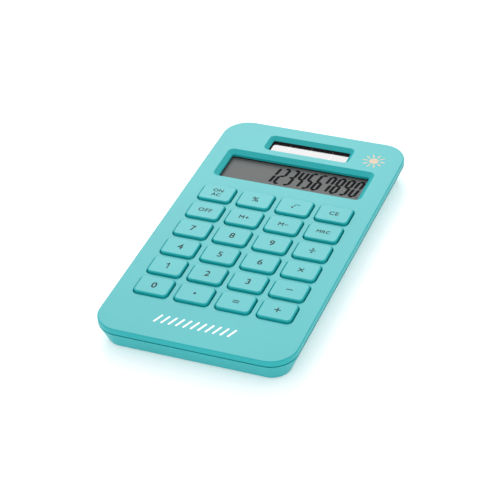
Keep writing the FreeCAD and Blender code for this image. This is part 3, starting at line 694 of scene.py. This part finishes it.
shear = Matrix.Identity(4)
shear[0][1] = LEAN
film_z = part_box("lcd_front_polariser")[1].z
window_low, window_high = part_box("lcd_gasket")
digit_y = (window_low.y + window_high.y) / 2 + DIGIT_RAISE
last_x = window_high.x - PANE_MARGIN - LAST_DIGIT_INSET
shown = "1234567890"
strokes = []
for place, character in enumerate(reversed(shown)):
    centre_x = last_x - place * DIGIT_PITCH
    for letter in SEGMENTS[character]:
        piece = segment(*SEGMENT_ENDS[letter])
        place_digit = Matrix.Translation((centre_x, digit_y, film_z))
        piece.data.transform(place_digit @ shear)
        strokes.append(piece)
point = dot((0, 0), POINT_RADIUS, sides=12)
point_place = (last_x + half_w + POINT_GAP, digit_y - half_h, film_z + INK_THICKNESS / 2)
point.data.transform(Matrix.Translation(point_place))
strokes.append(point)
digits = join(strokes, "display_digits")
digits.data.materials.clear()
digits.data.materials.append(display_ink)
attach(digits, "case")
print("display shows", shown)

# %% [markdown]
# ## The two printed marks
#
# A small sun by the solar cell says how the calculator is powered, and a row
# of slanted bars below the keys is plain decoration. Both are flat prints.

# %% The sun mark and the row of bars
sun_ink = finish("sun_ink", (0.62, 0.50, 0.36), 0.06, 500, (0.45, 0.6), 6000, 0.001 * MM)
white_ink = finish("white_ink", (0.88, 0.90, 0.90), 0.03, 300, (0.4, 0.55), 6000, 0.001 * MM)
case_low, case_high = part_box("top_shell")


def lay_on_face(piece, x, y, ink):
    piece.data.transform(Matrix.Translation((x, y, FACE_Z + INK_THICKNESS / 2)))
    piece.data.materials.clear()
    piece.data.materials.append(ink)
    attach(piece, "case")


SUN_RADIUS = 1.75 * MM
SUN_FROM_SIDE = 10.3 * MM
SUN_FROM_BACK = 11.6 * MM
RAYS = 10
RAY_START = 2.55 * MM
RAY_END = 3.9 * MM
RAY_WIDTH = 0.55 * MM
sun_parts = [dot((0, 0), SUN_RADIUS, sides=48)]
for index in range(RAYS):
    angle = 2 * math.pi * index / RAYS
    sun_parts.append(bar((RAY_START * math.cos(angle), RAY_START * math.sin(angle)),
                         (RAY_END * math.cos(angle), RAY_END * math.sin(angle)), RAY_WIDTH))
sun = join(sun_parts, "sun_mark")
lay_on_face(sun, case_high.x - SUN_FROM_SIDE, case_high.y - SUN_FROM_BACK, sun_ink)

BARS = 11
BAR_PITCH = 2.6 * MM
BAR_SLANT = 0.7 * MM
BAR_REACH = 1.7 * MM
BAR_WIDTH = 0.75 * MM
ROW_X = -1.2 * MM
ROW_FROM_FRONT = 9.9 * MM
bar_parts = []
for index in range(BARS):
    x = (index - (BARS - 1) / 2) * BAR_PITCH
    bar_parts.append(bar((x - BAR_SLANT, -BAR_REACH), (x + BAR_SLANT, BAR_REACH), BAR_WIDTH))
row = join(bar_parts, "bar_row")
lay_on_face(row, ROW_X, case_low.y + ROW_FROM_FRONT, white_ink)
print("two marks printed")

# %% [markdown]
# ## The domes of the keypad
#
# Under every key stands a silicone dome that folds when the key goes down. The
# frame has them as one part; here each dome is its own piece, turned like a
# cup on a wheel and fixed to the case.

# %% Domes under the keys
DOME_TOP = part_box("keypad_domes")[1].z
DOME_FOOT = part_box("keypad_mat")[1].z
DOME_RADIUS = 3.2 * MM
DOME_TOP_RADIUS = 2.2 * MM
DOME_WALL = 0.6 * MM
HOLLOW_DEPTH = 0.35 * MM
HOLLOW_TAPER = 0.66         # the ceiling's width as a share of the opening's
RIM_ROUND = 0.15 * MM


def dome(key):
    """A hollow cup from the board up to the key's plunger."""
    centre = middle(key)
    bpy.ops.object.select_all(action="DESELECT")
    bpy.ops.mesh.primitive_cone_add(vertices=32, radius1=DOME_RADIUS, radius2=DOME_TOP_RADIUS,
                                    depth=DOME_TOP - DOME_FOOT,
                                    location=(centre.x, centre.y, (DOME_TOP + DOME_FOOT) / 2))
    piece = bpy.context.object
    piece.name = f"dome_{key[4:]}"
    freeze(piece)
    bottom = min(piece.data.polygons, key=lambda face: face.center.z).index
    only(piece)
    bpy.ops.object.mode_set(mode="EDIT")
    bpy.ops.mesh.select_mode(type="FACE")
    bpy.ops.mesh.select_all(action="DESELECT")
    bpy.ops.object.mode_set(mode="OBJECT")
    piece.data.polygons[bottom].select = True
    bpy.ops.object.mode_set(mode="EDIT")
    bpy.ops.mesh.inset(thickness=DOME_WALL)
    bpy.ops.mesh.extrude_region_move(TRANSFORM_OT_translate={"value": (0, 0, HOLLOW_DEPTH)})
    bpy.ops.transform.resize(value=(HOLLOW_TAPER, HOLLOW_TAPER, 1.0),
                             center_override=(centre.x, centre.y, DOME_FOOT))
    bpy.ops.object.mode_set(mode="OBJECT")
    bevel = piece.modifiers.new("soft_rim", "BEVEL")
    bevel.width = RIM_ROUND
    bevel.segments = 2
    bevel.limit_method = "ANGLE"
    bevel.angle_limit = math.radians(30)
    bpy.ops.object.modifier_apply(modifier=bevel.name)
    face_outwards(piece)
    bpy.ops.object.shade_smooth_by_angle(angle=math.radians(35))
    piece.data.materials.clear()
    piece.data.materials.append(FINISHES["silicone"])
    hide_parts("keypad_domes")
    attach(piece, "case")
    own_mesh(piece)
    return piece


for key in KEYS:
    dome(key)
print(len(KEYS), "domes made")

# %% [markdown]
# ## Studio: floor, light and camera
#
# The object stands on a white sweep inside a light tent. The tent gives even
# light from all sides, and a large softbox behind and to the left throws the
# pale veil over the face and shows as a white reflection in the solar cell.
# From beneath, the sweep is clear, so that the feet, the screws and the battery
# cover can be looked at too.

# %% Floor
bpy.ops.object.select_all(action="DESELECT")
bpy.ops.mesh.primitive_plane_add(size=6.0, location=(0, 0, 0))
floor = bpy.context.object
floor.name = "studio_floor"
floor_material, floor_nodes, floor_links, floor_shader = blank_material("studio_floor")
floor_tone = group_node(floor_nodes, DRIFT, 3.0, 1.0)
floor_ramp = ramp_node(floor_nodes, [(0.2, (0.90, 0.90, 0.905)), (0.8, (0.92, 0.92, 0.925))])
floor_links.new(floor_tone.outputs["Value"], floor_ramp.inputs["Fac"])
floor_links.new(floor_ramp.outputs["Color"], floor_shader.inputs["Base Color"])
floor_shader.inputs["Roughness"].default_value = 0.8
floor_shader.inputs["Specular IOR Level"].default_value = 0.2
floor_shader.inputs["Emission Color"].default_value = (1.0, 1.0, 1.0, 1)
floor_shader.inputs["Emission Strength"].default_value = 0.27
floor_side = floor_nodes.new("ShaderNodeNewGeometry")
floor_clear = floor_nodes.new("ShaderNodeBsdfTransparent")
floor_choice = floor_nodes.new("ShaderNodeMixShader")
floor_links.new(floor_side.outputs["Backfacing"], floor_choice.inputs[0])
floor_links.new(floor_shader.outputs[0], floor_choice.inputs[1])
floor_links.new(floor_clear.outputs[0], floor_choice.inputs[2])
floor_links.new(floor_choice.outputs[0], floor_nodes["Material Output"].inputs["Surface"])
floor.data.materials.append(floor_material)

# %% Lights
TENT_STRENGTH = 0.905
SOFTBOX_POWER = 5.5
SOFTBOX_SIZE = 0.56
SOFTBOX_DISTANCE = 1.15
FILL_AZIMUTH, FILL_ELEVATION = 10, 30
FILL_POWER = 2.0
FILL_SIZE = (1.0, 0.8)
FILL_DISTANCE = 1.6
CAMERA_AZIMUTH = 23.62
CAMERA_ELEVATION = 36.92


def direction(azimuth, elevation):
    """Unit vector from the object towards a place round it; azimuth 0 is in front."""
    a, e = math.radians(azimuth), math.radians(elevation)
    return Vector((math.sin(a) * math.cos(e), -math.cos(a) * math.cos(e), math.sin(e)))


world = bpy.data.worlds.new("light_tent")
world.use_nodes = True
background = world.node_tree.nodes["Background"]
background.inputs["Color"].default_value = (0.98, 0.99, 1.0, 1)
background.inputs["Strength"].default_value = TENT_STRENGTH
bpy.context.scene.world = world


def softbox(name, azimuth, elevation, distance, size, power):
    """A rectangular light that points at the middle of the floor."""
    light = bpy.data.lights.new(name, "AREA")
    light.shape = "RECTANGLE"
    light.size, light.size_y = size
    light.energy = power
    lamp = bpy.data.objects.new(name, light)
    bpy.context.scene.collection.objects.link(lamp)
    towards = direction(azimuth, elevation)
    lamp.location = towards * distance
    lamp.rotation_mode = "QUATERNION"
    lamp.rotation_quaternion = (-towards).to_track_quat("-Z", "Y")


softbox("back_softbox", CAMERA_AZIMUTH + 180, CAMERA_ELEVATION, SOFTBOX_DISTANCE,
        (SOFTBOX_SIZE, SOFTBOX_SIZE), SOFTBOX_POWER)
softbox("front_fill", FILL_AZIMUTH, FILL_ELEVATION, FILL_DISTANCE, FILL_SIZE, FILL_POWER)

# %% Camera
CAMERA_ROLL = -3.85
CAMERA_DISTANCE = 644.5 * MM
CAMERA_AIM = Vector((-3.78, 0.50, 0.3)) * MM
CAMERA_LENS = 132.8
camera_data = bpy.data.cameras.new("camera")
camera_data.lens = CAMERA_LENS
camera_data.sensor_width = 36.0
camera_data.clip_start = 0.01
camera = bpy.data.objects.new("camera", camera_data)
bpy.context.scene.collection.objects.link(camera)
away = direction(CAMERA_AZIMUTH, CAMERA_ELEVATION)
camera.location = CAMERA_AIM + away * CAMERA_DISTANCE
camera.rotation_mode = "QUATERNION"
level = (-away).to_track_quat("-Z", "Y").to_matrix()
rolled = level @ Matrix.Rotation(math.radians(CAMERA_ROLL), 3, "Z")
camera.rotation_quaternion = rolled.to_quaternion()
bpy.context.scene.camera = camera
bpy.context.scene.view_settings.view_transform = "Standard"
